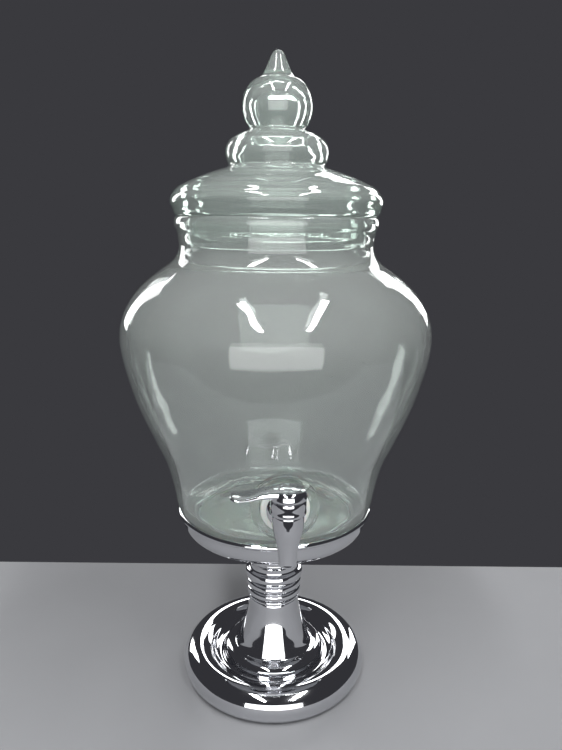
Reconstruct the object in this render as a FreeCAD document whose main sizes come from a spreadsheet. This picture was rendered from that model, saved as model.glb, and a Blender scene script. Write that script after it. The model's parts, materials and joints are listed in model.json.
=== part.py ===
# Glass beverage dispenser: an urn-shaped jar with a domed glass lid and a chrome tap, standing in
# a shallow chrome bowl on a beaded stem and a round foot.
# Frame: origin on the table under the centre of the foot, +Z up, the tap towards -Y, millimetres.
import FreeCAD, Part
import math
import os

import Sketcher
from FreeCAD import Placement, Rotation, Vector

# The driving dimensions. Heights are above the table, and radii are from the axis of the part.
SIZES = {
    # foot and stem
    "felt_radius": 83.5,
    "felt_top": 2.0,
    "plate_radius": 86.0,
    "plate_top": 3.5,
    "lip_low": 0.8,
    "foot_tube_radius": 17.0,
    "foot_tube_middle": 77.5,
    "foot_tube_height": 13.5,
    "foot_wall": 3.0,
    "flare_low": 32.0,
    "stem_low": 83.0,
    "stem_high": 156.0,
    "collar_radius": 25.5,
    "bore_radius": 4.2,
    # bowl
    "bowl_rim_radius": 96.0,
    "bowl_rim_high": 187.6,
    "bowl_wall_radius": 91.5,
    "bowl_floor": 166.0,
    "bowl_sink_radius": 11.5,
    "bowl_sink_low": 160.0,
    "bowl_pad_radius": 78.0,
    # tie rod that draws the bowl, the stem and the foot together
    "rod_radius": 4.0,
    "rod_low": 70.0,
    "rod_high": 165.6,
    "rod_washer_radius": 8.5,
    "rod_washer_thick": 1.2,
    "rod_nut_corner": 7.5,
    "rod_nut_thick": 4.4,
    # jar
    "jar_low": 168.5,
    "jar_floor": 184.0,
    "jar_wall": 4.5,
    "jar_foot_radius": 82.0,
    "jar_belly_radius": 145.1,
    "neck_radius": 89.3,
    "neck_inside": 82.5,
    "mouth_radius": 92.5,
    "jar_high": 466.0,
    "boss_radius": 29.0,
    "boss_inside_radius": 21.0,
    "boss_out": 113.0,
    "boss_in": 93.0,
    "jar_hole_radius": 9.5,
    # tap
    "tap_height": 232.0,
    "tap_out": 138.0,
    "shank_radius": 8.0,
    "shank_in": 78.0,
    "water_radius": 4.5,
    "gasket_radius": 20.5,
    "gasket_thick": 2.5,
    "flange_radius": 16.0,
    "flange_thick": 3.5,
    "inner_ring_radius": 16.0,
    "tap_washer_thick": 1.5,
    "tap_nut_corner": 15.6,
    "tap_nut_thick": 8.0,
    "ring_bore": 8.3,
    "barrel_low": 195.0,
    "barrel_high": 240.0,
    "barrel_radius": 12.8,
    "valve_low": 222.0,
    "valve_radius": 8.0,
    "bonnet_radius": 14.2,
    "bonnet_high": 252.0,
    "running_gap": 0.05,
    "stem_radius": 4.9,
    "plug_low": 223.0,
    "plug_high": 239.5,
    "valve_stem_high": 258.5,
    "port_radius": 4.0,
    "seal_middle": 7.15,
    "seal_half": 0.8,
    "seal_low": 225.6,
    "seal_high": 237.9,
    # lever
    "lever_low": 252.3,
    "lever_cap_radius": 14.6,
    "lever_cap_high": 262.4,
    "lever_reach": 47.5,
    "lever_width": 18.0,
    "grub_radius": 1.5,
    "grub_height": 255.5,
    # lid
    "lid_radius": 95.4,
    "lid_lip_radius": 80.0,
    "lid_lip_inside": 76.0,
    "lid_lip_low": 446.0,
    "lid_high": 605.0,
}

doc = FreeCAD.newDocument("BeverageDispenser")
sheet = doc.addObject("Spreadsheet::Sheet", "Dims")
for row, (alias, value) in enumerate(SIZES.items(), start=1):
    sheet.set(f"A{row}", alias.replace("_", " "))
    sheet.set(f"B{row}", str(value))
    sheet.setAlias(f"B{row}", alias)
doc.recompute()

pieces = {}


def length(text):
    """The value of a sum of sheet names and numbers, such as "stem_low + 4"."""
    total, sign = 0.0, 1
    for word in text.split():
        if word in ("+", "-"):
            sign = 1 if word == "+" else -1
        else:
            total += sign * (sheet.get(word) if word in SIZES else float(word))
    return total


def less(text, taken):
    """The sum that is left when one sum is taken from another."""
    flip = {"+": "-", "-": "+"}
    return " ".join([text, "-"] + [flip.get(word, word) for word in taken.split()])


def bind(thing, **sizes):
    """Ties each property to a sum of sheet names and numbers. Two underscores stand for a dot."""
    for name, text in sizes.items():
        names = [f"Dims.{word}" if word in SIZES else word for word in text.split()]
        thing.setExpression(name.replace("__", "."), " ".join(names))


def keep(thing, label):
    """Makes an object one of the part's nodes."""
    thing.Label = label
    pieces[label] = thing
    return thing


def arc_between(start, end, radius, side):
    """The short arc from start to end, counter-clockwise, and whether that turns its ends round."""
    chord = end - start
    rise = math.sqrt(radius**2 - (chord.Length / 2) ** 2)
    across = Vector(-chord.y, chord.x, 0).normalize() * side
    centre = (start + end) / 2 + across * rise
    angles = [math.atan2(p.y - centre.y, p.x - centre.x) for p in (start, end)]
    swapped = side < 0
    if swapped:
        angles.reverse()
    circle = Part.Circle(centre, Vector(0, 0, 1), radius)
    return Part.ArcOfCircle(circle, *angles), swapped


def turned(label, outline, out="0"):
    """A body turned about a vertical axis, which stands out towards -Y by `out`.

    The outline is a closed list of (radius, height) corners as texts. An arc starts at a corner
    that also has (radius, side): side 1 has the arc's centre on the left of its direction."""
    body = doc.addObject("PartDesign::Body", f"{label}_body")
    plane = next(f for f in body.Origin.OriginFeatures if f.Role == "XZ_Plane")
    sketch = body.newObject("Sketcher::SketchObject", f"{label}_outline")
    sketch.AttachmentSupport = (plane, [""])
    sketch.MapMode = "FlatFace"
    corners = [Vector(length(c[0]), length(c[1]), 0) for c in outline]
    starts, ends = [], []
    for i, corner in enumerate(outline):
        start, end = corners[i], corners[(i + 1) % len(corners)]
        if len(corner) == 3:
            bend, side = corner[2]
            arc, swapped = arc_between(start, end, length(bend), side)
            edge = sketch.addGeometry(arc, False)
            tie = sketch.addConstraint(Sketcher.Constraint("Radius", edge, length(bend)))
            bind(sketch, **{f"Constraints[{tie}]": bend})
        else:
            swapped = False
            edge = sketch.addGeometry(Part.LineSegment(start, end), False)
        starts.append((edge, 2 if swapped else 1))
        ends.append((edge, 1 if swapped else 2))
    for i, corner in enumerate(outline):
        sketch.addConstraint(Sketcher.Constraint("Coincident", *ends[i - 1], *starts[i]))
        for kind, text, value in zip(("DistanceX", "DistanceY"), corner[:2], corners[i]):
            if value == 0:
                sketch.addConstraint(Sketcher.Constraint("PointOnObject", *starts[i], -2))
                continue
            tie = sketch.addConstraint(Sketcher.Constraint(kind, -1, 1, *starts[i], value))
            bind(sketch, **{f"Constraints[{tie}]": text})
    turn = body.newObject("PartDesign::Revolution", f"{label}_turn")
    turn.Profile = sketch
    turn.ReferenceAxis = (sketch, ["V_Axis"])
    turn.Angle = 360
    bind(body, Placement__Base__y=less("0", out))
    return body


def rod(name, radius, low, high, across=False, out="0"):
    """A cylinder between two heights, or, if it lies across, between two distances towards -Y."""
    cylinder = doc.addObject("Part::Cylinder", name)
    bind(cylinder, Radius=radius, Height=less(high, low))
    if across:
        cylinder.Placement = Placement(Vector(), Rotation(Vector(1, 0, 0), 90))
        bind(cylinder, Placement__Base__y=less("0", low), Placement__Base__z="tap_height")
    else:
        bind(cylinder, Placement__Base__z=low, Placement__Base__y=less("0", out))
    return cylinder


def cut(name, base, tool):
    """What is left of one object when another is taken away."""
    result = doc.addObject("Part::Cut", name)
    result.Base = base
    result.Tool = tool
    return result


def ring(label, outer, inner, low, high, across=False):
    """A washer, gasket or flat ring."""
    outside = rod(f"{label}_outside", outer, low, high, across)
    hole = rod(f"{label}_hole", inner, low, high, across)
    return keep(cut(f"{label}_ring", outside, hole), label)


def hex_nut(label, corner, bore, low, thick, across=False):
    """A six-sided nut with a plain bore."""
    block = doc.addObject("Part::Prism", f"{label}_block")
    block.Polygon = 6
    bind(block, Circumradius=corner, Height=thick)
    hole = rod(f"{label}_hole", bore, low, f"{low} + {thick}", across)
    if across:
        block.Placement = Placement(Vector(), Rotation(Vector(1, 0, 0), 90))
        bind(block, Placement__Base__y=less("0", low), Placement__Base__z="tap_height")
    else:
        bind(block, Placement__Base__z=low)
    return keep(cut(f"{label}_nut", block, hole), label)


def curve(points):
    """A smooth edge through (radius, height) points, in the XZ plane."""
    spline = Part.BSplineCurve()
    spline.interpolate([Vector(x, 0, z) for x, z in points])
    return spline.toShape()


def path(points):
    """Straight edges through (radius, height) points, in the XZ plane."""
    corners = [Vector(x, 0, z) for x, z in points]
    return [Part.LineSegment(a, b).toShape() for a, b in zip(corners, corners[1:])]


def arc(start, middle, end):
    """The round edge through three (radius, height) points, in the XZ plane."""
    return Part.Arc(*(Vector(x, 0, z) for x, z in (start, middle, end))).toShape()


def cap(edge, top):
    """The round edge from a (radius, height) point up to the axis, with its centre on the axis."""
    radius, rise = edge[0], top - edge[1]
    bend = (radius**2 + rise**2) / (2 * rise)
    half = math.atan2(radius, bend - rise) / 2
    return arc(edge, (bend * math.sin(half), top - bend + bend * math.cos(half)), (0, top))


def spun(edges):
    """The solid that a closed chain of edges makes when it is turned about the Z axis."""
    wire = Part.Wire(Part.__sortEdges__(edges))
    return Part.Face(wire).revolve(Vector(), Vector(0, 0, 1), 360)


def across_rod(radius, out, inward):
    """A cylinder along Y at the tap's height, between two distances towards -Y."""
    place = Vector(0, -inward, length("tap_height"))
    return Part.makeCylinder(radius, out - inward, place, Vector(0, -1, 0))


def make_foot():
    """The felt, the steel plate and the spun shell with its round tube, groove and flare."""
    keep(rod("felt_disc", "felt_radius", "0", "felt_top"), "felt_pad")
    keep(rod("plate_disc", "plate_radius", "felt_top", "plate_top"), "base_plate")
    inner, edge = "plate_radius + 0.1", "foot_tube_middle + foot_tube_radius"
    thin, height = "foot_tube_radius - foot_wall", "foot_tube_height"
    outline = [
        (inner, "lip_low"),
        ("plate_radius + 2.7", "lip_low", ("foot_tube_radius", 1)),
        (edge, height, ("foot_tube_radius", 1)),
        ("foot_tube_middle - 14.5", f"{height} + 8.9", ("9", -1)),
        ("52.5", "18.2", ("10", 1)),
        ("42", "30.5"),
        ("39", "flare_low", ("110", -1)),
        ("collar_radius - 1", "stem_low"),
        ("bore_radius", "stem_low"),
        ("bore_radius", "stem_low - 5"),
        ("collar_radius - 4", "stem_low - 5", ("110", 1)),
        ("39 - foot_wall", "flare_low - 1"),
        ("45.6", "24.2"),
        ("49.6", "16.4"),
        ("58", "14.4"),
        ("foot_tube_middle - 11.5", f"{height} + 8", (thin, -1)),
        (f"{edge} - foot_wall", height, (thin, -1)),
        (inner, f"{height} - 11.05"),
    ]
    keep(turned("foot", outline), "foot_shell")


def make_stem():
    """The turned column: a collar, two beads, a large bead, a cove and a flared neck."""
    outline = [
        ("bore_radius", "stem_low"),
        ("collar_radius", "stem_low"),
        ("collar_radius", "stem_low + 3.5", ("5.5", 1)),
        ("collar_radius", "stem_low + 12.5", ("4.9", 1)),
        ("collar_radius", "stem_low + 21.5", ("7.5", 1)),
        ("collar_radius", "stem_low + 34.5", ("8", -1)),
        ("collar_radius", "stem_low + 41.5", ("90", -1)),
        ("collar_radius + 3.5", "stem_high"),
        ("bore_radius", "stem_high"),
    ]
    keep(turned("stem", outline), "stem_column")


def make_bowl():
    """The shallow bowl with its rolled rim, and the soft pad that the jar rests on."""
    wall = "bowl_wall_radius"
    outline = [
        ("bore_radius", "stem_high"),
        ("collar_radius + 4", "stem_high"),
        ("77.5", "stem_high + 6.4", ("14", 1)),
        (wall, "stem_high + 20.4"),
        ("bowl_rim_radius - 2.3", "bowl_rim_high - 4.8", ("2.5", 1)),
        ("bowl_rim_radius - 1.7", "bowl_rim_high"),
        (f"{wall} + 1.6", "bowl_rim_high - 3.6"),
        (f"{wall} - 1.8", "bowl_floor + 10.7", ("10.7", -1)),
        (f"{wall} - 12.5", "bowl_floor"),
        ("bowl_sink_radius", "bowl_floor"),
        ("bowl_sink_radius", "bowl_sink_low"),
        ("bore_radius", "bowl_sink_low"),
    ]
    keep(turned("bowl", outline), "bowl")
    keep(rod("pad_disc", "bowl_pad_radius", "bowl_floor", "jar_low"), "bowl_pad")


def make_tie_rod():
    """The rod through the stem, with a washer and a nut at each end."""
    keep(rod("tie_bar", "rod_radius", "rod_low", "rod_high"), "tie_rod")
    bore, thick = "rod_radius + 0.1", "rod_washer_thick"
    ring("upper_washer", "rod_washer_radius", bore, "bowl_sink_low", f"bowl_sink_low + {thick}")
    hex_nut("upper_nut", "rod_nut_corner", bore, f"bowl_sink_low + {thick}", "rod_nut_thick")
    under = "stem_low - 5"
    ring("lower_washer", "rod_washer_radius", bore, f"{under} - {thick}", under)
    low = f"{under} - {thick} - rod_nut_thick"
    hex_nut("lower_nut", "rod_nut_corner", bore, low, "rod_nut_thick")


def make_jar():
    """The blown jar: a flared body, a round belly and shoulder, a short neck and a flat tap boss."""
    low, floor, top = length("jar_low"), length("jar_floor"), length("jar_high")
    wall, foot, belly = length("jar_wall"), length("jar_foot_radius"), length("jar_belly_radius")
    neck, inside, mouth = length("neck_radius"), length("neck_inside"), length("mouth_radius")
    side = [
        (93.5, 186.8), (96.2, 193.5), (98.8, 208), (106.5, 238), (118, 264), (130, 292), (139, 320),
        (belly - 0.8, 346), (belly, 360), (belly - 2.8, 375), (134, 391.5), (121.5, 406),
        (105, 419), (94.5, 427), (neck, 436),
    ]
    outer = curve(side)
    first, last = outer.ParameterRange
    steps = 14
    within = []
    for i in range(steps + 1):
        at = first + (last - first) * i / steps
        point, along = outer.valueAt(at), outer.tangentAt(at)
        within.append((point.x - wall * along.z, point.z + wall * along.x))
    within = [(foot + 3, floor + 3)] + [p for p in within if floor + 12 < p[1] < 424]
    within.append((inside, 440))
    heel = (foot + 6.8, low + 8.3)
    edges = path([(0, low), (foot, low)]) + [arc((foot, low), (foot + 4.6, low + 3.3), heel)]
    edges += path([heel, side[0]]) + [outer]
    rim = [side[-1], (neck, 449), (mouth, 456), (mouth, top - 3)]
    edges += path(rim) + [arc(rim[-1], (mouth - 0.9, top - 0.9), (mouth - 3, top))]
    edges += path([(mouth - 3, top), (inside + 2, top)])
    edges += [arc((inside + 2, top), (inside + 0.6, top - 0.6), (inside, top - 2))]
    edges += path([(inside, top - 2), within[-1]]) + [curve(within)]
    edges += [arc(within[0], (foot - 3, floor + 0.8), (foot - 9, floor))]
    edges += path([(foot - 9, floor), (0, floor), (0, low)])
    glass = spun(edges)
    face, back = length("boss_out"), length("boss_in")
    boss = length("boss_radius")
    glass = glass.fuse(across_rod(boss, face, face - 10))
    glass = glass.fuse(across_rod(length("boss_inside_radius"), face, back))
    glass = glass.cut(across_rod(boss, face + 20, face))
    glass = glass.cut(across_rod(length("jar_hole_radius"), face + 10, back - 10))
    feature = doc.addObject("Part::Feature", "jar_form")
    feature.Shape = glass.removeSplitter()
    keep(feature, "jar_glass")


def make_tap():
    """The tap on its shank: gaskets, flange, barrel, bonnet, and the nut inside the jar."""
    ring("gasket_outer", "gasket_radius", "ring_bore", "boss_out", "boss_out + gasket_thick", True)
    flange = "boss_out + gasket_thick"
    ring("tap_flange", "flange_radius", "ring_bore", flange, f"{flange} + flange_thick", True)
    seal = "boss_in - gasket_thick"
    ring("gasket_inner", "inner_ring_radius", "ring_bore", seal, "boss_in", True)
    washer = f"{seal} - tap_washer_thick"
    ring("tap_washer", "inner_ring_radius - 1", "ring_bore", washer, seal, True)
    nut = f"{washer} - tap_nut_thick"
    hex_nut("tap_nut", "tap_nut_corner", "shank_radius + 0.1", nut, "tap_nut_thick", True)
    outline = [
        ("water_radius", "barrel_low"),
        ("7.3", "barrel_low"),
        ("7.8", "barrel_low + 10", ("34", -1)),
        ("12.2", "barrel_low + 31"),
        ("barrel_radius", "barrel_high"),
        ("water_radius", "barrel_high"),
    ]
    barrel = turned("barrel", outline, "tap_out")
    shank = rod("shank_bar", "shank_radius", "shank_in", "tap_out", True)
    whole = doc.addObject("Part::Fuse", "tap_solid")
    whole.Base, whole.Tool = barrel, shank
    valve = rod("valve_space", "valve_radius", "valve_low", "barrel_high + 1", out="tap_out")
    water = rod("water_way", "water_radius", "shank_in - 1", "tap_out", True)
    outlet = rod("outlet_way", "water_radius", "barrel_low - 1", "valve_low + 1", out="tap_out")
    opened = cut("tap_opened", cut("tap_seated", whole, valve), water)
    keep(cut("tap_drilled", opened, outlet), "tap_body")
    outline = [
        ("stem_radius + running_gap", "barrel_high"),
        ("bonnet_radius - 0.6", "barrel_high"),
        ("bonnet_radius", "barrel_high + 0.6"),
        ("bonnet_radius", "bonnet_high - 1.2", ("1.2", 1)),
        ("bonnet_radius - 1.2", "bonnet_high"),
        ("stem_radius + running_gap", "bonnet_high"),
    ]
    keep(turned("bonnet", outline, "tap_out"), "tap_bonnet")


def make_valve():
    """The turning plug with its stem, two seal rings and an elbow port that is shut at rest."""
    plug, seat = "valve_radius - running_gap", "seal_middle - seal_half"
    outline = [("0", "plug_low"), (plug, "plug_low")]
    for height in ("seal_low", "seal_high"):
        groove = [(f"{height} - seal_half - 0.1", plug, seat), (f"{height} + seal_half + 0.1", seat, plug)]
        for level, before, after in groove:
            outline += [(before, level), (after, level)]
    outline += [(plug, "plug_high"), ("stem_radius", "plug_high")]
    outline += [("stem_radius", "valve_stem_high"), ("0", "valve_stem_high")]
    blank = turned("plug", outline, "tap_out")
    port = doc.addObject("Part::Cylinder", "side_port")
    port.Placement = Placement(Vector(), Rotation(Vector(0, 1, 0), 90))
    bind(port, Radius="port_radius", Height="valve_radius + 1")
    bind(port, Placement__Base__y="0 - tap_out", Placement__Base__z="tap_height")
    down = rod("down_port", "port_radius", "plug_low - 1", "tap_height", out="tap_out")
    keep(cut("plug_drilled", cut("plug_side", blank, port), down), "valve_plug")
    for label, height in (("lower_seal", "seal_low"), ("upper_seal", "seal_high")):
        seal = doc.addObject("Part::Torus", f"{label}_torus")
        bind(seal, Radius1="seal_middle", Radius2="seal_half")
        bind(seal, Placement__Base__y="0 - tap_out", Placement__Base__z=height)
        keep(seal, label)


def make_lever():
    """The cast lever: a domed cap on the valve stem and a paddle that sweeps down to -X and up."""
    low, side, high = length("lever_low"), length("lever_cap_radius"), length("lever_cap_high")
    reach, half = length("lever_reach"), length("lever_width") / 2
    out = length("tap_out")
    crown = (side - 2.6, high - 1.7)
    dome = path([(0, high), (0, low), (side, low), (side, low + 4.5)])
    dome += [arc((side, low + 4.5), (side - 0.8, low + 7), crown), cap(crown, high)]
    lever = spun(dome)
    over = [(2, high - 0.6), (-10, high - 1.4), (-22, 258), (-34, 255.4), (-reach, 256.8)]
    under = [(-reach, 253.6), (-34, 252.4), (-22, 254), (-10, 255), (2, low + 1)]
    edges = [curve(over), curve(under)] + path([over[-1], under[0]]) + path([under[-1], over[0]])
    ribbon = Part.Face(Part.Wire(Part.__sortEdges__(edges)))
    ribbon = ribbon.extrude(Vector(0, 4 * half, 0))
    ribbon.translate(Vector(0, -2 * half, 0))
    root = 12
    plan = [(2, root), (-9, 10.5), (-20, 7.2), (-32, half - 0.4), (-39, half), (-45, half - 3.2)]
    plan += [(-reach, 0)] + [(x, -y) for x, y in reversed(plan)]
    rim = Part.BSplineCurve()
    rim.interpolate([Vector(x, y, low - 1) for x, y in plan])
    ends = Part.LineSegment(Vector(2, -root, low - 1), Vector(2, root, low - 1)).toShape()
    print_face = Part.Face(Part.Wire(Part.__sortEdges__([rim.toShape(), ends])))
    paddle = ribbon.common(print_face.extrude(Vector(0, 0, 20)))
    lever = lever.fuse(paddle).removeSplitter()
    stem = length("stem_radius") + length("running_gap")
    depth = length("valve_stem_high") + 0.1 - low
    lever = lever.cut(Part.makeCylinder(stem, depth, Vector(0, 0, low)))
    grub_at = Vector(0, 0, length("grub_height"))
    thread = length("grub_radius") + 0.05
    lever = lever.cut(Part.makeCylinder(thread, side + 5, grub_at, Vector(0, 1, 0)))
    lever.translate(Vector(0, -out, 0))
    feature = doc.addObject("Part::Feature", "lever_form")
    feature.Shape = lever
    keep(feature, "lever_handle")
    screw = doc.addObject("Part::Cylinder", "grub_bar")
    screw.Placement = Placement(Vector(), Rotation(Vector(1, 0, 0), 90))
    bind(screw, Radius="grub_radius", Height="lever_cap_radius - stem_radius - 1")
    bind(screw, Placement__Base__z="grub_height")
    bind(screw, Placement__Base__y="0 - tap_out + lever_cap_radius - 0.8")
    keep(screw, "lever_screw")


def make_lid():
    """The pressed lid: a lip in the neck, a low dome, and a hollow bulge, ball and point above."""
    top, rest = length("lid_high"), length("jar_high")
    lip, within, edge = length("lid_lip_radius"), length("lid_lip_inside"), length("lid_radius")
    low = length("lid_lip_low")
    ball, waist = 30.5, 24.8
    dome = [
        (90, rest), (edge - 2.6, rest + 5.6), (edge, rest + 12.6), (edge - 3.1, 485.4), (81.3, 494.3),
        (63, 502), (43.6, 508.6),
    ]
    bulge = [dome[-1], (45.9, 521), (36, 535.6), (waist, 540.8)]
    point = [(15, 583.4), (9, 593.4), (4.6, 602)]
    edges = path([(within, low), (lip, low), (lip, rest), dome[0]])
    edges += [curve(dome), curve(bulge), arc(bulge[-1], (ball, 561), point[0]), curve(point)]
    edges += [cap(point[-1], top)]
    hollow = [
        (within, 478), (72, 488), (62, 494.3), (50, 499), (39.5, 503.5), (35, 511), (35.5, 521),
        (30, 529.5), (20, 535.5), (16.5, 541.5), (18.5, 550), (21.5, 560), (15.5, 570.5), (0, 574.5),
    ]
    edges += path([(0, top), (0, hollow[-1][1])]) + [curve(hollow)]
    edges += path([hollow[0], (within, low)])
    feature = doc.addObject("Part::Feature", "lid_form")
    feature.Shape = spun(edges)
    keep(feature, "lid_glass")


def check_and_write():
    """Stops at a failed object or a bad shape, then writes one file for each node."""
    doc.recompute()
    for thing in doc.Objects:
        if {"Invalid", "Error"} & set(thing.State):
            raise RuntimeError(f"{thing.Label} failed: {thing.State}")
    for label, thing in pieces.items():
        shape = thing.Shape
        if shape.isNull() or not shape.isValid() or len(shape.Solids) != 1:
            raise RuntimeError(f"{label} has a bad shape with {len(shape.Solids)} solids")
    os.makedirs("parts", exist_ok=True)
    for label, thing in pieces.items():
        thing.Shape.exportStep(f"parts/{label}.step")
        box = thing.Shape.optimalBoundingBox(True)
        corners = (box.XMin, box.YMin, box.ZMin, box.XMax, box.YMax, box.ZMax)
        print(f"{label:14s}", *(f"{c:8.2f}" for c in corners), f"{thing.Shape.Volume:10.0f} mm3")


make_foot()
make_stem()
make_bowl()
make_tie_rod()
make_jar()
make_tap()
make_valve()
make_lever()
make_lid()
check_and_write()
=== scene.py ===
"""A glass beverage dispenser: a blown jar and a pressed lid in pale green glass, with a chrome tap,
on a chrome stand. New pieces stand in for the visible frame nodes; hidden ones get finishes."""

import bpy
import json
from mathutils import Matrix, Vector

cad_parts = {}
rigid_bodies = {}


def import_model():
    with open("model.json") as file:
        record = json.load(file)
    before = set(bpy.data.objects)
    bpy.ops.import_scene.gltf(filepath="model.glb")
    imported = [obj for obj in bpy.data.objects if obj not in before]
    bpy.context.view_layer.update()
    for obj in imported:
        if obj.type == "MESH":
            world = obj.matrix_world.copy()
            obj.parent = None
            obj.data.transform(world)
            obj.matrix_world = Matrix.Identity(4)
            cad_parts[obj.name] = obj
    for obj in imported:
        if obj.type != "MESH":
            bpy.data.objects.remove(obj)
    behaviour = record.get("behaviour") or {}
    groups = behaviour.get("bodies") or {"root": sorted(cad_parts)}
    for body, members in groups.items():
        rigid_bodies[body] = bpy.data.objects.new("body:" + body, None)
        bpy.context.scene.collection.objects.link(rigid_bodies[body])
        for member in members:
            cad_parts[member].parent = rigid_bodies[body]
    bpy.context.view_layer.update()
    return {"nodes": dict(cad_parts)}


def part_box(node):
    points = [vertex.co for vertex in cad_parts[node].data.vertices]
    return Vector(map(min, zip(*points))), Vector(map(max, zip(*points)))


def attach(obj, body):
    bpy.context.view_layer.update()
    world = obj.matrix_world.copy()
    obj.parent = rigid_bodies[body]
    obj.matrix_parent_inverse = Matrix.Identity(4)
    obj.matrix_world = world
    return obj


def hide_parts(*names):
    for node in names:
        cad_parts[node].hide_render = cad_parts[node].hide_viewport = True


bl_info = {
    "name": "Glass Beverage Dispenser",
    "version": (1, 0, 0),
    "blender": (4, 5, 0),
    "location": "3D View > Sidebar > Dispenser",
    "description": "Builds a footed glass beverage dispenser round its frame",
    "category": "Add Mesh",
}

import json
import math
import random

import bpy
from mathutils import Matrix, Vector

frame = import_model()

MM = 0.001
FULL_TURN = 2 * math.pi
LARGE_STEPS = 192
SMALL_STEPS = 96


# ---------------------------------------------------------------- colours and nodes

def linear(hex_colour):
    """An sRGB hex colour as a linear colour with alpha."""
    values = [int(hex_colour[i:i + 2], 16) / 255 for i in (1, 3, 5)]
    return [v / 12.92 if v <= 0.04045 else ((v + 0.055) / 1.055) ** 2.4 for v in values] + [1.0]


def per_metre(size_mm):
    """The scale of a pattern whose features are this many millimetres apart."""
    return 1000 / size_mm


def node(tree, kind, links=(), **settings):
    """Adds a node. Settings are properties or input values; links are (socket, source) pairs."""
    made = tree.nodes.new(kind)
    for name, value in settings.items():
        if hasattr(made, name):
            setattr(made, name, value)
        else:
            made.inputs[name.replace("_", " ")].default_value = value
    for socket, source in links:
        tree.links.new(source, made.inputs[socket])
    return made


def new_material(name, **inputs):
    """A material with one Principled shader, its values set on its own sockets."""
    material = bpy.data.materials.new(name)
    material.use_nodes = True
    shader = material.node_tree.nodes["Principled BSDF"]
    for key, value in inputs.items():
        shader.inputs[key.replace("_", " ")].default_value = value
    return material, material.node_tree, shader


def noise(tree, size_mm, detail=3.0, stretch=(1, 1, 1)):
    """Noise on the piece's own coordinates, with features of a size in millimetres."""
    place = node(tree, "ShaderNodeTexCoord")
    fitted = node(tree, "ShaderNodeMapping", [("Vector", place.outputs["Object"])], Scale=stretch)
    return node(tree, "ShaderNodeTexNoise", [("Vector", fitted.outputs["Vector"])],
                Scale=per_metre(size_mm), Detail=detail)


def ramp(tree, source, low, high, start=0.0, stop=1.0):
    """Maps a pattern from start..stop to the range low..high, kept inside it."""
    return node(tree, "ShaderNodeMapRange", [("Value", source)], From_Min=start, From_Max=stop,
                To_Min=low, To_Max=high).outputs["Result"]


def bump(tree, shader, height, depth_mm, strength=1.0, below=None):
    """Raises the surface by a pattern; the depth is in millimetres."""
    links = [("Height", height)] + ([("Normal", below)] if below else [])
    made = node(tree, "ShaderNodeBump", links, Strength=strength, Distance=depth_mm * MM)
    tree.links.new(made.outputs["Normal"], shader.inputs["Normal"])
    return made.outputs["Normal"]


# ---------------------------------------------------------------- finishes

def blown_glass(settings):
    """Recycled soda-lime glass, blown: iron in it turns thick glass green, and its skin ripples."""
    material, tree, shader = new_material(
        "blown_soda_lime_glass", Base_Color=linear("#f9fdfb"), Roughness=0.0, IOR=1.5,
        Transmission_Weight=0.88)
    tint = node(tree, "ShaderNodeVolumeAbsorption", Color=linear(settings.glass_tint),
                Density=settings.glass_depth)
    tree.links.new(tint.outputs["Volume"], tree.nodes["Material Output"].inputs["Volume"])
    swell = noise(tree, 38, 2.0, (1, 1, 0.6))
    skin = noise(tree, 9, 2.0)
    first = bump(tree, shader, swell.outputs["Fac"], 0.8, 0.55)
    bump(tree, shader, skin.outputs["Fac"], 0.08, 0.4, first)
    film = noise(tree, 60, 4.0)
    tree.links.new(ramp(tree, film.outputs["Fac"], 0.0, 0.05, 0.45, 0.8), shader.inputs["Roughness"])
    return material


def pressed_glass(settings):
    """Soda-lime glass pressed in an iron mould: thick, greener, with the mould's chill ripple."""
    material, tree, shader = new_material(
        "pressed_soda_lime_glass", Base_Color=linear("#f6fcf9"), Roughness=0.0, IOR=1.5,
        Transmission_Weight=0.86)
    tint = node(tree, "ShaderNodeVolumeAbsorption", Color=linear(settings.glass_tint),
                Density=settings.glass_depth)
    tree.links.new(tint.outputs["Volume"], tree.nodes["Material Output"].inputs["Volume"])
    chill = noise(tree, 16, 3.0, (1, 1, 1.4))
    bump(tree, shader, chill.outputs["Fac"], 0.5, 0.5)
    film = noise(tree, 45, 4.0)
    tree.links.new(ramp(tree, film.outputs["Fac"], 0.0, 0.05, 0.5, 0.85), shader.inputs["Roughness"])
    return material


def seed_glass(settings):
    """The skin of an air seed inside the glass, seen from the glass side, with no depth of colour."""
    return new_material("air_seed_skin", Base_Color=linear("#ffffff"), Roughness=0.0, IOR=1.5,
                        Transmission_Weight=1.0)[0]


def chrome_plate(settings):
    """Bright nickel-chrome plate on spun metal: a mirror with a faint haze and wiping marks."""
    material, tree, shader = new_material(
        "polished_chrome_plate", Base_Color=linear(settings.chrome_colour), Metallic=1.0)
    haze = noise(tree, 30, 5.0)
    wipe = noise(tree, 1.2, 4.0, (1, 1, 0.15))
    rough = ramp(tree, haze.outputs["Fac"], 0.03, 0.11, 0.4, 0.8)
    tree.links.new(rough, shader.inputs["Roughness"])
    peel = noise(tree, 14, 2.0)
    first = bump(tree, shader, peel.outputs["Fac"], 0.05, 0.5)
    bump(tree, shader, wipe.outputs["Fac"], 0.004, 0.5, first)
    return material


def silicone(settings):
    """Moulded translucent silicone: milky, soft-looking, with a satin skin."""
    material, tree, shader = new_material(
        "moulded_silicone", Base_Color=linear("#dfe5e0"), Roughness=0.42, IOR=1.41,
        Subsurface_Weight=0.35, Subsurface_Scale=0.004)
    grain = noise(tree, 0.8, 3.0)
    tree.links.new(ramp(tree, grain.outputs["Fac"], 0.34, 0.5), shader.inputs["Roughness"])
    bump(tree, shader, grain.outputs["Fac"], 0.02, 0.4)
    return material


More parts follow.
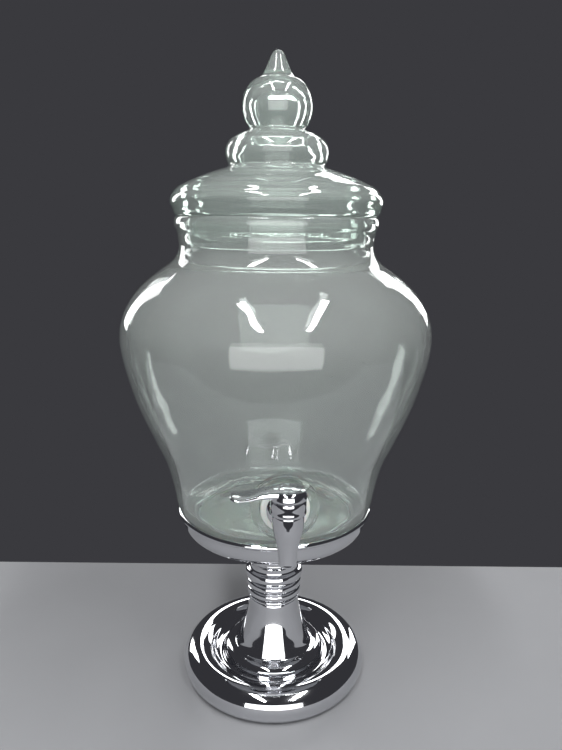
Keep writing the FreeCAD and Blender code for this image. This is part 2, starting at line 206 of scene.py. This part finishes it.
def felt(settings):
    """Pressed wool felt: dark, matt, with matted fibres of about a millimetre."""
    material, tree, shader = new_material("pressed_felt", Roughness=0.95, Sheen_Weight=0.5)
    fibre = noise(tree, 1.1, 8.0, (1, 3, 1))
    shade = node(tree, "ShaderNodeMix", [("Factor", fibre.outputs["Fac"])], data_type="RGBA")
    shade.inputs["A"].default_value = linear("#1c1d20")
    shade.inputs["B"].default_value = linear("#3a3b40")
    tree.links.new(shade.outputs["Result"], shader.inputs["Base Color"])
    bump(tree, shader, fibre.outputs["Fac"], 0.4, 0.9)
    return material


def zinc_steel(settings):
    """Zinc-plated mild steel: pale grey metal with a cloudy, half-dull plate."""
    material, tree, shader = new_material(
        "zinc_plated_steel", Base_Color=linear("#b4b7ba"), Metallic=1.0)
    cloud = noise(tree, 7, 5.0)
    tree.links.new(ramp(tree, cloud.outputs["Fac"], 0.25, 0.5), shader.inputs["Roughness"])
    bump(tree, shader, cloud.outputs["Fac"], 0.03, 0.4)
    return material


def nylon(settings):
    """Moulded natural nylon: warm white, waxy, with a fine moulded grain."""
    material, tree, shader = new_material(
        "moulded_nylon", Base_Color=linear("#e2e0d8"), Roughness=0.4, Subsurface_Weight=0.2,
        Subsurface_Scale=0.003)
    grain = noise(tree, 0.6, 3.0)
    tree.links.new(ramp(tree, grain.outputs["Fac"], 0.35, 0.5), shader.inputs["Roughness"])
    bump(tree, shader, grain.outputs["Fac"], 0.02, 0.4)
    return material


def floor_paint(settings):
    """Matt paint on a smooth board: plain grey, with a very faint mottle."""
    material, tree, shader = new_material("matt_floor_paint", Roughness=0.7)
    mottle = noise(tree, 90, 4.0)
    shade = node(tree, "ShaderNodeMix", [("Factor", mottle.outputs["Fac"])], data_type="RGBA")
    base = linear(settings.floor_colour)
    shade.inputs["A"].default_value = base
    shade.inputs["B"].default_value = [c * 0.93 for c in base[:3]] + [1.0]
    tree.links.new(shade.outputs["Result"], shader.inputs["Base Color"])
    return material


# Every maker takes the settings, though only some finishes have one.
MAKERS = {
    "blown": blown_glass, "pressed": pressed_glass, "chrome": chrome_plate, "floor": floor_paint,
    "seed": seed_glass, "silicone": silicone, "felt": felt, "steel": zinc_steel, "nylon": nylon,
}
FINISHES = {}


def finish_of(name, settings):
    """The material of this finish, made once."""
    if name not in FINISHES:
        FINISHES[name] = MAKERS[name](settings)
    return FINISHES[name]


# ---------------------------------------------------------------- modelling from given outlines

def deselect():
    """Leaves nothing selected or active."""
    for thing in bpy.context.view_layer.objects:
        thing.select_set(False)
    bpy.context.view_layer.objects.active = None


def choose(*things):
    """Selects these objects, the first one active."""
    deselect()
    for thing in things:
        thing.select_set(True)
    bpy.context.view_layer.objects.active = things[0]


def set_down(thing):
    """Moves an object's place into its mesh, so that it sits at the origin."""
    choose(thing)
    bpy.ops.object.transform_apply(location=True, rotation=True, scale=True)


def draw_outline(name, points, detail):
    """An edge chain through (radius, height) points. A third entry "corner" makes a sharp point."""
    deselect()
    bpy.ops.curve.primitive_bezier_curve_add(location=(0, 0, 0))
    outline = bpy.context.object
    outline.name = name
    outline.data.resolution_u = detail
    spline = outline.data.splines[0]
    spline.bezier_points.add(len(points) - 2)
    for handle, point in zip(spline.bezier_points, points):
        handle.co = (point[0], 0, point[1])
        kind = "VECTOR" if len(point) == 3 else "AUTO"
        handle.handle_left_type = handle.handle_right_type = kind
    bpy.ops.object.convert(target="MESH")
    return bpy.context.object


def spin_outline(outline, steps, smooth_angle=35):
    """Turns an outline that starts and ends on the Z axis, or is closed, into a solid."""
    choose(outline)
    bpy.ops.object.mode_set(mode="EDIT")
    bpy.ops.mesh.select_all(action="SELECT")
    bpy.ops.mesh.spin(steps=steps, angle=FULL_TURN, center=(0, 0, 0), axis=(0, 0, 1))
    bpy.ops.mesh.select_all(action="SELECT")
    bpy.ops.mesh.remove_doubles(threshold=2e-6)
    bpy.ops.mesh.normals_make_consistent(inside=False)
    bpy.ops.object.mode_set(mode="OBJECT")
    bpy.ops.object.shade_smooth_by_angle(angle=math.radians(smooth_angle))
    return outline


def turn_piece(name, points, steps=160, detail=8, ring=False):
    """A turned piece from points in millimetres; a ring's outline closes on itself."""
    scaled = [(p[0] * MM, p[1] * MM, *p[2:]) for p in points]
    if ring:
        scaled.append(scaled[0])
    return spin_outline(draw_outline(name, scaled, detail), steps)


def place(thing, location, lean=None):
    """Puts a piece at a place in the frame, turned if it is asked, and applies that."""
    if lean:
        thing.rotation_euler = lean
    thing.location = location
    set_down(thing)
    return thing


def combine(thing, other, operation):
    """Unites a solid with another, or cuts the other out of it, and removes the other."""
    choose(thing)
    modifier = thing.modifiers.new("combine", "BOOLEAN")
    modifier.operation = operation
    modifier.solver = "EXACT"
    modifier.object = other
    bpy.ops.object.modifier_apply(modifier=modifier.name)
    bpy.data.objects.remove(other)
    return thing


def bevelled_rod(radius, start, stop, soft, steps=SMALL_STEPS):
    """A round rod along Y between two places, at the tap's height, with softened ends."""
    deselect()
    bpy.ops.mesh.primitive_cylinder_add(
        vertices=steps, radius=radius, depth=abs(stop - start),
        location=(0, (start + stop) / 2, tap_height()), rotation=(math.pi / 2, 0, 0))
    rod = bpy.context.object
    set_down(rod)
    if soft:
        edge = rod.modifiers.new("soft", "BEVEL")
        edge.width, edge.segments, edge.limit_method = soft, 4, "ANGLE"
        bpy.ops.object.modifier_apply(modifier=edge.name)
    return rod


def tidy(thing, smooth_angle):
    """Merges doubled points and sets the normals and the shading of a combined solid."""
    choose(thing)
    bpy.ops.object.mode_set(mode="EDIT")
    bpy.ops.mesh.select_all(action="SELECT")
    bpy.ops.mesh.remove_doubles(threshold=1e-6)
    bpy.ops.mesh.normals_make_consistent(inside=False)
    bpy.ops.object.mode_set(mode="OBJECT")
    bpy.ops.object.shade_smooth_by_angle(angle=math.radians(smooth_angle))


def hand_over(thing, name, finish, body, slot, *nodes):
    """Names a finished piece, gives it its finish, ties it to its body and hides the nodes it stands
    in for. The slot is not used.
    """
    thing.name = name
    thing.data.name = name
    thing.data.materials.clear()
    thing.data.materials.append(finish)
    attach(thing, body)
    if nodes:
        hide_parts(*nodes)
    return thing


# ---------------------------------------------------------------- places from the frame

def low_mm(name):
    """The height of a node's underside, in millimetres."""
    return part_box(name)[0].z / MM


def high_mm(name):
    """The height of a node's top, in millimetres."""
    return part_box(name)[1].z / MM


def radius_mm(name):
    """Half of a node's width along X, in millimetres."""
    low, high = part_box(name)
    return (high.x - low.x) / 2 / MM


def tap_height():
    """The height of the tap's shank."""
    low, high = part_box("gasket_outer")
    return (low.z + high.z) / 2


def barrel_place():
    """The point on the barrel's axis at the height of the table."""
    low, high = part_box("tap_bonnet")
    return Vector((0, (low.y + high.y) / 2, 0))


# ---------------------------------------------------------------- sizes and colours to change

class DispenserSettings(bpy.types.PropertyGroup):
    """The sizes and colours that a user would change."""

    glass_tint: bpy.props.StringProperty(
        name="Glass tint", description="Colour that deep glass turns light to", default="#a9dcc2")
    glass_depth: bpy.props.FloatProperty(
        name="Tint depth", description="How fast the tint deepens, per metre of glass", default=7.0)
    chrome_colour: bpy.props.StringProperty(
        name="Chrome", description="Colour of the chrome plate", default="#dcdde0")
    floor_colour: bpy.props.StringProperty(
        name="Floor", description="Colour of the floor", default="#8e8f92")
    seed_count: bpy.props.IntProperty(
        name="Air seeds", description="Number of air seeds in the jar's wall", default=140, min=0)
    ripple: bpy.props.FloatProperty(
        name="Ripple", description="How far the blown wall wanders from round",
        default=0.0005, unit="LENGTH")


# ---------------------------------------------------------------- glass

def jar_side():
    """The jar's outer side from its foot to its neck, in millimetres."""
    foot, belly = low_mm("jar_glass"), radius_mm("jar_glass")
    return [
        (82, foot), (86.6, foot + 3.3), (88.8, foot + 8.3), (93.5, foot + 18.3), (96.2, 193.5),
        (98.8, 208), (106.5, 238), (118, 264), (130, 292), (139, 320), (belly - 0.8, 346),
        (belly, 360), (belly - 2.8, 375), (134, 391.5), (121.5, 406), (105, 419), (94.5, 427),
        (89.3, 436),
    ]


class DISPENSER_OT_jar(bpy.types.Operator):
    """Builds the blown jar with its thick base, flat tap boss and rim"""

    bl_idname = "dispenser.jar"
    bl_label = "Jar"

    def execute(self, context):
        settings = context.scene.dispenser
        foot, top, wall = low_mm("jar_glass"), high_mm("jar_glass"), 4.5
        outside = jar_side()
        inside = [(p[0] - wall - 0.2, p[1] + 0.8) for p in outside[5:-2]]
        outline = [(0, foot + 2.2), (56, foot + 1.6), (76, foot), *outside]
        outline += [(89.3, 446), (90.4, 453), (92.5, 458), (92.5, top - 3), (91.6, top - 0.9)]
        outline += [(89.6, top), (84.6, top), (83.0, top - 0.7), (82.5, top - 3), (82.5, 440)]
        outline += [(88, 427.5), *reversed(inside), (91.2, 196), (87.6, 189.4), (80, 184.8)]
        outline += [(62, 183.4), (40, 183)]
        outline += [(0, 182.6)]
        jar = turn_piece("jar", outline, steps=LARGE_STEPS, detail=6)
        self.ripple(jar, settings.ripple)
        face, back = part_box("gasket_outer")[1].y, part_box("gasket_inner")[0].y
        back += 2.5 * MM
        boss, pad, hole, reach = 29 * MM, 21 * MM, 9.5 * MM, 10 * MM
        combine(jar, bevelled_rod(boss, face, face + reach, 1.6 * MM), "UNION")
        combine(jar, bevelled_rod(pad, face + 3 * MM, back, 1.5 * MM), "UNION")
        combine(jar, bevelled_rod(boss - 1 * MM, face - 2 * reach, face, 0), "DIFFERENCE")
        combine(jar, bevelled_rod(hole, face - reach, back + reach, 0), "DIFFERENCE")
        tidy(jar, 28)
        hand_over(jar, "jar_blown", finish_of("blown", settings), "jar", "glass", "jar_glass")
        return {"FINISHED"}

    def ripple(self, jar, depth):
        """Lets the wall wander a little from round, as blown glass does, but not at its fits."""
        low, high = 200 * MM, 415 * MM
        for point in jar.data.vertices:
            if not low < point.co.z < high:
                continue
            edge = math.sin(math.pi * (point.co.z - low) / (high - low))
            angle = math.atan2(point.co.y, point.co.x)
            wave = math.sin(3 * angle + 0.7) + 0.6 * math.sin(5 * angle + point.co.z / 0.05)
            share = 1 - depth * edge * (1.3 - wave) / max(point.co.xy.length, 0.01)
            point.co.x *= share
            point.co.y *= share


class DISPENSER_OT_seeds(bpy.types.Operator):
    """Scatters small air seeds in the jar's wall and base"""

    bl_idname = "dispenser.seeds"
    bl_label = "Air seeds"

    def execute(self, context):
        settings = context.scene.dispenser
        chance = random.Random(11)
        deselect()
        bpy.ops.mesh.primitive_ico_sphere_add(subdivisions=2, radius=1, location=(0, 0, 0))
        seed = bpy.context.object
        side = jar_side()[5:-1]
        made = []
        while len(made) < settings.seed_count:
            size = chance.uniform(0.25, 0.8) * MM
            angle = chance.uniform(0, FULL_TURN)
            if chance.random() < 0.3:
                radius, height = chance.uniform(5, 80) * MM, chance.uniform(172, 180.5) * MM
            else:
                i = chance.randrange(len(side) - 1)
                mix = chance.random()
                radius = (side[i][0] * (1 - mix) + side[i + 1][0] * mix - 2.4) * MM
                height = (side[i][1] * (1 - mix) + side[i + 1][1] * mix) * MM
                near_boss = abs(math.sin(angle) + 1) < 0.2 and height < 270 * MM
                if near_boss:
                    continue
            copy = seed.copy()
            copy.data = seed.data.copy()
            context.collection.objects.link(copy)
            copy.location = (radius * math.cos(angle), radius * math.sin(angle), height)
            copy.rotation_euler = (0, 0, angle + math.pi / 2)
            copy.scale = (size * chance.uniform(1, 2.2), size, size)
            made.append(copy)
        bpy.data.objects.remove(seed)
        choose(*made)
        bpy.ops.object.transform_apply(location=True, rotation=True, scale=True)
        bpy.ops.object.join()
        bpy.ops.object.shade_smooth()
        bpy.ops.object.mode_set(mode="EDIT")
        bpy.ops.mesh.select_all(action="SELECT")
        bpy.ops.mesh.flip_normals()
        bpy.ops.object.mode_set(mode="OBJECT")
        hand_over(made[0], "jar_air_seeds", finish_of("seed", settings), "jar", "glass")
        return {"FINISHED"}


class DISPENSER_OT_lid(bpy.types.Operator):
    """Builds the pressed lid: a lip, a low dome, and a hollow bulge, ball and point"""

    bl_idname = "dispenser.lid"
    bl_label = "Lid"

    def execute(self, context):
        settings = context.scene.dispenser
        low, top, edge = low_mm("lid_glass"), high_mm("lid_glass"), radius_mm("lid_glass")
        rest = high_mm("jar_glass")
        outline = [
            (0, 574.5), (9, 573.2), (15.5, 570.2), (20.4, 563), (20.4, 555), (17.6, 547),
            (16.5, 541.5), (20, 535.5), (30, 529.5), (35.5, 521), (35, 511), (39.5, 503.5),
            (50, 499), (62, 494.3), (72, 488), (75.4, 482), (76, 475), (76, low + 1.2),
            (77.2, low), (78.8, low), (80, low + 1.2), (80, rest - 0.8), (80.8, rest + 0.1),
            (88.6, rest), (91, rest + 1.1), (edge - 2.4, rest + 5.6), (edge, rest + 12.8),
            (edge - 0.9, rest + 16.4), (edge - 3.2, rest + 19.6), (89.2, 489.6), (81.3, 494.2),
            (72, 498.4), (63, 501.9), (53.7, 505), (45, 508), (42.9, 509.8), (44.6, 514.6),
            (45.9, 521.4), (43.6, 528.8), (37, 534.4), (29.4, 537.8), (25.4, 539.6), (24.7, 541.4),
            (26.4, 544.4), (29.4, 551), (30.5, 560.6), (28.2, 571), (22.6, 579), (16.4, 582.6),
            (13.2, 585.2), (10.8, 589.4), (8.9, 593.6), (6.9, 598), (4.8, 602), (2.7, top - 0.8),
            (0, top),
        ]
        lid = turn_piece("lid", outline, steps=LARGE_STEPS, detail=5)
        self.raise_seams(lid)
        hand_over(lid, "lid_pressed", finish_of("pressed", settings), "lid", "glass", "lid_glass")
        return {"FINISHED"}

    def raise_seams(self, lid):
        """Raises the two mould seams, on opposite sides, above the rim."""
        step = FULL_TURN / LARGE_STEPS
        seam = round(math.radians(248) / step) * step
        start = 484 * MM
        for point in lid.data.vertices:
            angle = math.atan2(point.co.y, point.co.x) % math.pi
            on_seam = abs(angle - seam % math.pi) < step / 4
            outside = point.normal.xy.dot(point.co.xy) > 0 and point.co.xy.length > 8 * MM
            point.select = on_seam and outside and point.co.z > start
        choose(lid)
        bpy.ops.object.mode_set(mode="EDIT")
        bpy.ops.mesh.select_mode(type="VERT")
        bpy.ops.transform.shrink_fatten(value=0.0003)
        bpy.ops.object.mode_set(mode="OBJECT")


# ---------------------------------------------------------------- chrome

class DISPENSER_OT_stand(bpy.types.Operator):
    """Builds the stand: the foot with its round edge, the beaded stem and the bowl"""

    bl_idname = "dispenser.stand"
    bl_label = "Stand"

    def execute(self, context):
        chrome = finish_of("chrome", context.scene.dispenser)
        foot = turn_piece("foot", self.foot_outline(), steps=LARGE_STEPS, ring=True)
        hand_over(foot, "foot_spun", chrome, "stand", "chrome", "foot_shell")
        stem = turn_piece("stem", self.stem_outline(), steps=144, ring=True)
        hand_over(stem, "stem_turned", chrome, "stand", "chrome", "stem_column")
        bowl = turn_piece("bowl", self.bowl_outline(), steps=LARGE_STEPS, ring=True)
        hand_over(bowl, "bowl_spun", chrome, "stand", "chrome", "bowl")
        return {"FINISHED"}

    def foot_outline(self):
        """The hollow foot: a round tube, a groove, a bead, a small step and a flare."""
        top, edge = high_mm("foot_shell"), radius_mm("foot_shell")
        tube, height = 17, 13.5
        middle = edge - tube
        rim = []
        for degrees in range(-45, 145, 10):
            angle = math.radians(degrees)
            rim.append((middle + tube * math.cos(angle), height + tube * math.sin(angle)))
        outline = [(86.1, 0.8, "corner"), (edge - 6.2, 0.8), *rim, (61.2, 20.2), (57.4, 18)]
        outline += [(54.4, 17.9), (52.6, 19)]
        for degrees in range(5, 82, 15):
            angle = math.radians(degrees)
            outline.append((42.6 + 9.8 * math.cos(angle), 20.6 + 9.8 * math.sin(angle)))
        outline += [(42.2, 30.6), (41, 30.8), (39.9, 31.3), (38.8, 32.8), (35, 41.5), (30.6, 54.5)]
        outline += [(26.9, 68.5), (24.7, top - 1), (24.2, top), (4.3, top, "corner")]
        outline += [(4.3, top - 5, "corner"), (21.3, top - 5, "corner"), (24.2, 66), (28.6, 50)]
        outline += [(35.8, 31.4), (45.2, 24.6), (49.4, 16.8), (57.6, 14.6), (65.8, 21.5)]
        outline += [(72, 26.3), (77.5, 27.4), (84, 25.9), (89.4, 20.8), (91.4, 14), (90, 7.4)]
        outline += [(86.1, 2.6, "corner")]
        return outline

    def stem_outline(self):
        """A collar, two beads, a large bead, a cove and a neck that flares into the bowl."""
        low, top, large = low_mm("stem_column"), high_mm("stem_column"), radius_mm("stem_column")
        outline = [(4.3, low, "corner"), (25.2, low), (25.7, low + 0.6), (25.7, low + 3.1)]
        beads = [(low + 8, 4.4, 27.6), (low + 17, 4.4, 28), (low + 28, 6.4, large)]
        for middle, half, crest in beads:
            waist = 25.4
            outline.append((waist, middle - half))
            for share in (-0.72, -0.35, 0, 0.35, 0.72):
                bulge = math.sqrt(1 - share * share)
                outline.append((waist + (crest - waist) * bulge, middle + half * share))
            outline.append((waist, middle + half))
        outline += [(24.7, low + 38), (25.4, low + 41.5), (25.8, low + 43), (25.6, low + 45)]
        outline += [(26, low + 54), (27.2, low + 64), (29, top, "corner"), (4.3, top, "corner")]
        return outline

    def bowl_outline(self):
        """A shallow bowl with a rounded turn, an upright wall and a rolled rim."""
        low, top, edge = low_mm("bowl"), high_mm("bowl"), radius_mm("bowl")
        outline = [(4.3, low, "corner"), (29.5, low), (42, low + 0.9), (60, low + 3.4)]
        for degrees in range(-90, 1, 15):
            angle = math.radians(degrees)
            outline.append((77.5 + 14 * math.cos(angle), low + 20.4 + 14 * math.sin(angle)))
        outline += [(91.9, low + 23.6), (92.8, low + 26), (94.4, low + 26.8), (edge, top - 3.2)]
        outline += [(edge + 0.05, top - 1.7), (edge - 1, top - 0.3), (94.2, top), (93.2, top - 1)]
        outline += [(92.6, top - 4), (89.7, low + 20.7), (86.6, low + 13.1), (79, low + 10)]
        outline += [(70, low + 10), (11.5, low + 10, "corner"), (11.5, low + 4, "corner")]
        outline += [(4.3, low + 4, "corner")]
        return outline


class DISPENSER_OT_tap(bpy.types.Operator):
    """Builds the tap: gasket, flange, barrel with its shank, bonnet and lever"""

    bl_idname = "dispenser.tap"
    bl_label = "Tap"

    def execute(self, context):
        settings = context.scene.dispenser
        chrome = finish_of("chrome", settings)
        self.gasket(finish_of("silicone", settings))
        self.flange(chrome)
        self.barrel(chrome)
        self.bonnet(chrome)
        self.lever(chrome)
        return {"FINISHED"}

    def disc(self, name, node_name, points):
        """A ring turned about the shank: points are (radius, distance out from the jar)."""
        ring = turn_piece(name, points, steps=SMALL_STEPS, ring=True)
        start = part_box(node_name)[1].y
        return place(ring, (0, start, tap_height()), (math.pi / 2, 0, 0))

    def gasket(self, finish):
        """The soft ring between the jar and the flange, pinched a little at its rim."""
        edge = radius_mm("gasket_outer")
        points = [(8.4, 0, "corner"), (edge - 0.8, 0), (edge, 0.7), (edge, 1.6), (edge - 0.9, 2.5)]
        points += [(17, 2.5), (8.4, 2.5, "corner")]
        ring = self.disc("gasket", "gasket_outer", points)
        hand_over(ring, "tap_gasket", finish, "jar", "silicone", "gasket_outer")

    def flange(self, finish):
        """The chrome ring that hides the shank's hole."""
        edge = radius_mm("tap_flange")
        points = [(8.4, 0, "corner"), (edge - 0.3, 0), (edge, 0.5), (edge - 0.2, 1.4)]
        points += [(edge - 1.6, 2.6), (edge - 4, 3.3), (11, 3.5), (8.4, 3.5, "corner")]
        ring = self.disc("flange", "tap_flange", points)
        hand_over(ring, "tap_flange_ring", finish, "jar", "chrome", "tap_flange")

    def barrel(self, finish):
        """The tapered barrel on its shank, with the outlet's bore."""
        low, top, edge = low_mm("tap_body"), high_mm("tap_body"), radius_mm("tap_body")
        outline = [(4.5, low, "corner"), (6.6, low), (7.3, low + 0.6), (7.4, low + 3), (7.8, low + 10)]
        outline += [(9, low + 18), (10.8, low + 25.5), (12.1, low + 31), (edge - 0.2, low + 37)]
        outline += [(edge, top - 1, "corner"), (edge - 0.4, top, "corner"), (8, top, "corner")]
        outline += [(8, low + 27, "corner"), (4.5, low + 27, "corner")]
        barrel = turn_piece("barrel", outline, steps=SMALL_STEPS, ring=True)
        place(barrel, barrel_place())
        inner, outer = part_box("tap_body")[1].y, barrel_place().y + 9 * MM
        shank = bevelled_rod(7.95 * MM, inner, outer, 0.6 * MM, 64)
        combine(barrel, shank, "UNION")
        tidy(barrel, 32)
        hand_over(barrel, "tap_barrel", finish, "jar", "chrome", "tap_body")

    def bonnet(self, finish):
        """The bonnet that closes the barrel round the valve's stem."""
        low, top, edge = low_mm("tap_bonnet"), high_mm("tap_bonnet"), radius_mm("tap_bonnet")
        outline = [(4.95, low, "corner"), (edge - 0.6, low), (edge, low + 0.6), (edge, low + 5)]
        outline += [(edge, top - 1.2), (edge - 0.4, top - 0.3), (edge - 1.3, top), (9, top)]
        outline += [(4.95, top, "corner")]
        bonnet = turn_piece("bonnet", outline, steps=SMALL_STEPS, ring=True)
        place(bonnet, barrel_place())
        hand_over(bonnet, "tap_bonnet_cap", finish, "jar", "chrome", "tap_bonnet")

    def lever(self, finish):
        """The cast lever: a domed cap and a paddle that sweeps down and up again at its tip."""
        box_low, box_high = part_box("lever_handle")
        low, top, reach = box_low.z / MM, box_high.z / MM, -box_low.x / MM
        edge = box_high.x / MM
        outline = [(0, low + 0.1), (edge - 0.8, low + 0.1), (edge, low + 0.8), (edge, low + 4)]
        outline += [(edge - 0.8, low + 6.4), (edge - 3, low + 8.4), (5, top - 0.3), (0, top)]
        cap = turn_piece("lever_cap", outline, steps=72)
        deselect()
        bpy.ops.mesh.primitive_cube_add(size=1, location=(2 * MM, 0, (low + 5.2) * MM))
        paddle = bpy.context.object
        paddle.scale = (0.002, 0.027, 0.009)
        set_down(paddle)
        stations = [
            (-8, 5.6, 25, 9), (-16, 5.2, 21, 7.6), (-25, 3.7, 19, 6), (-34, 2.3, 22.5, 4.8),
            (-42, 2.3, 22, 4.4), (1.2 - reach, 3.0, 14, 3.6),
        ]
        self.sweep(paddle, stations, low)
        swell = paddle.modifiers.new("round", "SUBSURF")
        swell.levels = swell.render_levels = 3
        bpy.ops.object.modifier_apply(modifier=swell.name)
        combine(cap, paddle, "UNION")
        choose(cap)
        cap.data.remesh_voxel_size = 0.00045
        bpy.ops.object.voxel_remesh()
        soften = cap.modifiers.new("soften", "SMOOTH")
        soften.factor, soften.iterations = 0.5, 8
        bpy.ops.object.modifier_apply(modifier=soften.name)
        bpy.ops.object.shade_smooth()
        place(cap, barrel_place())
        hand_over(cap, "lever_cast", finish, "lever", "chrome", "lever_handle")

    def sweep(self, paddle, stations, low):
        """Pulls the end that faces -X through stations of (along, height, width, thickness)."""
        choose(paddle)
        bpy.ops.object.mode_set(mode="EDIT")
        bpy.ops.mesh.select_mode(type="FACE")
        bpy.ops.mesh.select_all(action="DESELECT")
        bpy.ops.object.mode_set(mode="OBJECT")
        end = min(paddle.data.polygons, key=lambda face: face.center.x)
        end.select = True
        before = (end.center.x / MM, end.center.z / MM, 27, 9)
        for along, height, width, thick in stations:
            bpy.ops.object.mode_set(mode="EDIT")
            shift = Vector((along - before[0], 0, low + height - before[1])) * MM
            bpy.ops.mesh.extrude_region_move(TRANSFORM_OT_translate={"value": shift})
            share = (1, width / before[2], thick / before[3])
            bpy.ops.transform.resize(value=share)
            before = (along, low + height, width, thick)
            bpy.ops.object.mode_set(mode="OBJECT")


# ---------------------------------------------------------------- frame nodes that stay

class DISPENSER_OT_hidden_parts(bpy.types.Operator):
    """Gives the frame nodes that stay in view or inside their own finishes"""

    bl_idname = "dispenser.hidden_parts"
    bl_label = "Pads, seals and fasteners"

    def execute(self, context):
        settings = context.scene.dispenser
        finishes = {
            "felt": ["felt_pad"],
            "steel": ["base_plate", "tie_rod", "upper_washer", "upper_nut", "lower_washer",
                      "lower_nut", "lever_screw"],
            "silicone": ["bowl_pad", "gasket_inner", "lower_seal", "upper_seal"],
            "nylon": ["tap_washer", "tap_nut", "valve_plug"],
        }
        for finish, names in finishes.items():
            for name in names:
                mesh = frame["nodes"][name].data
                mesh.materials.clear()
                mesh.materials.append(finish_of(finish, settings))
        return {"FINISHED"}


# ---------------------------------------------------------------- stage

class DISPENSER_OT_stage(bpy.types.Operator):
    """Sets the floor, the studio lights, the world and the camera"""

    bl_idname = "dispenser.stage"
    bl_label = "Stage"

    def execute(self, context):
        settings = context.scene.dispenser
        self.floor(settings)
        self.world(context)
        self.lights()
        self.camera(context)
        return {"FINISHED"}

    def floor(self, settings):
        """A plain board with its back edge behind the foot."""
        back, front, half, swing = 0.2, -0.5, 1.4, math.radians(-5)
        deselect()
        bpy.ops.mesh.primitive_plane_add(size=1, location=(0, (back + front) / 2, 0))
        floor = bpy.context.object
        floor.scale = (2 * half, back - front, 1)
        floor.rotation_euler = (0, 0, swing)
        set_down(floor)
        thick = floor.modifiers.new("board", "SOLIDIFY")
        thick.thickness, thick.offset = 0.02, -1
        bpy.ops.object.modifier_apply(modifier=thick.name)
        floor.name = "floor"
        floor.data.materials.append(finish_of("floor", settings))

    def world(self, context):
        """A plain dark room, so that the glass is drawn by its edges and by the lights."""
        world = bpy.data.worlds.new("room")
        world.use_nodes = True
        context.scene.world = world
        sky = world.node_tree.nodes["Background"]
        sky.inputs["Color"].default_value = linear("#3a3a3e")
        sky.inputs["Strength"].default_value = 1.0

    def lights(self):
        """Two long ceiling lights, a broad low front light and three soft lights behind."""
        aim = Vector((0, 0, 0.3))
        lamps = [
            ("ceiling_left", (-0.55, -1.1, 2.1), (0.16, 1.7), 36),
            ("ceiling_right", (0.75, -1.0, 2.1), (0.16, 1.7), 36),
            ("front_soft", (-0.2, -3.2, 0.5), (4.0, 2.2), 80),
            ("side_left", (-1.3, 1.6, 0.9), (0.5, 1.2), 10),
            ("side_right", (1.3, 1.6, 0.9), (0.5, 1.2), 10),
            ("back_soft", (0.5, 2.3, 1.9), (1.3, 0.5), 12),
        ]
        for name, spot, size, power in lamps:
            deselect()
            bpy.ops.object.light_add(type="AREA", location=spot)
            lamp = bpy.context.object
            lamp.name = name
            lamp.data.shape = "RECTANGLE"
            lamp.data.size, lamp.data.size_y = size
            lamp.data.energy = power
            lamp.visible_camera = False
            if name.startswith("ceiling"):
                lamp.rotation_euler = (0, 0, 0)
            else:
                lamp.rotation_euler = (aim - Vector(spot)).to_track_quat("-Z", "Y").to_euler()

    def camera(self, context):
        """The camera a little left of the tap, looking down on the jar, and tilted slightly."""
        deselect()
        pitch, yaw, roll = (math.radians(angle) for angle in (13.5, 5.0, 0.57))
        bpy.ops.object.camera_add(location=(-0.047, -0.598, 0.462))
        camera = bpy.context.object
        turn = Matrix.Rotation(-yaw, 3, "Z") @ Matrix.Rotation(math.pi / 2 - pitch, 3, "X")
        camera.rotation_euler = (turn @ Matrix.Rotation(roll, 3, "Z")).to_euler()
        camera.data.lens = 30.72
        camera.data.sensor_fit = "VERTICAL"
        camera.data.sensor_width = camera.data.sensor_height = 36
        camera.data.clip_start = 0.02
        context.scene.camera = camera
        context.scene.view_settings.view_transform = "Standard"


# ---------------------------------------------------------------- panel and registration

class DISPENSER_PT_panel(bpy.types.Panel):
    """Lists the sizes, the colours and the building steps"""

    bl_idname = "DISPENSER_PT_panel"
    bl_label = "Beverage Dispenser"
    bl_space_type = "VIEW_3D"
    bl_region_type = "UI"
    bl_category = "Dispenser"

    def draw(self, context):
        layout = self.layout
        for name in DispenserSettings.__annotations__:
            layout.prop(context.scene.dispenser, name)
        for step in STEPS:
            layout.operator(step.bl_idname)


STEPS = (
    DISPENSER_OT_jar, DISPENSER_OT_seeds, DISPENSER_OT_lid, DISPENSER_OT_stand, DISPENSER_OT_tap,
    DISPENSER_OT_hidden_parts, DISPENSER_OT_stage,
)
CLASSES = (DispenserSettings, *STEPS, DISPENSER_PT_panel)


def register():
    for cls in CLASSES:
        bpy.utils.register_class(cls)
    bpy.types.Scene.dispenser = bpy.props.PointerProperty(type=DispenserSettings)


def unregister():
    del bpy.types.Scene.dispenser
    for cls in reversed(CLASSES):
        bpy.utils.unregister_class(cls)


def main():
    """Builds the dispenser and its stage."""
    register()
    bpy.ops.dispenser.jar()
    bpy.ops.dispenser.seeds()
    bpy.ops.dispenser.lid()
    bpy.ops.dispenser.stand()
    bpy.ops.dispenser.tap()
    bpy.ops.dispenser.hidden_parts()
    bpy.ops.dispenser.stage()
    bpy.context.view_layer.update()


if __name__ == "__main__":
    main()
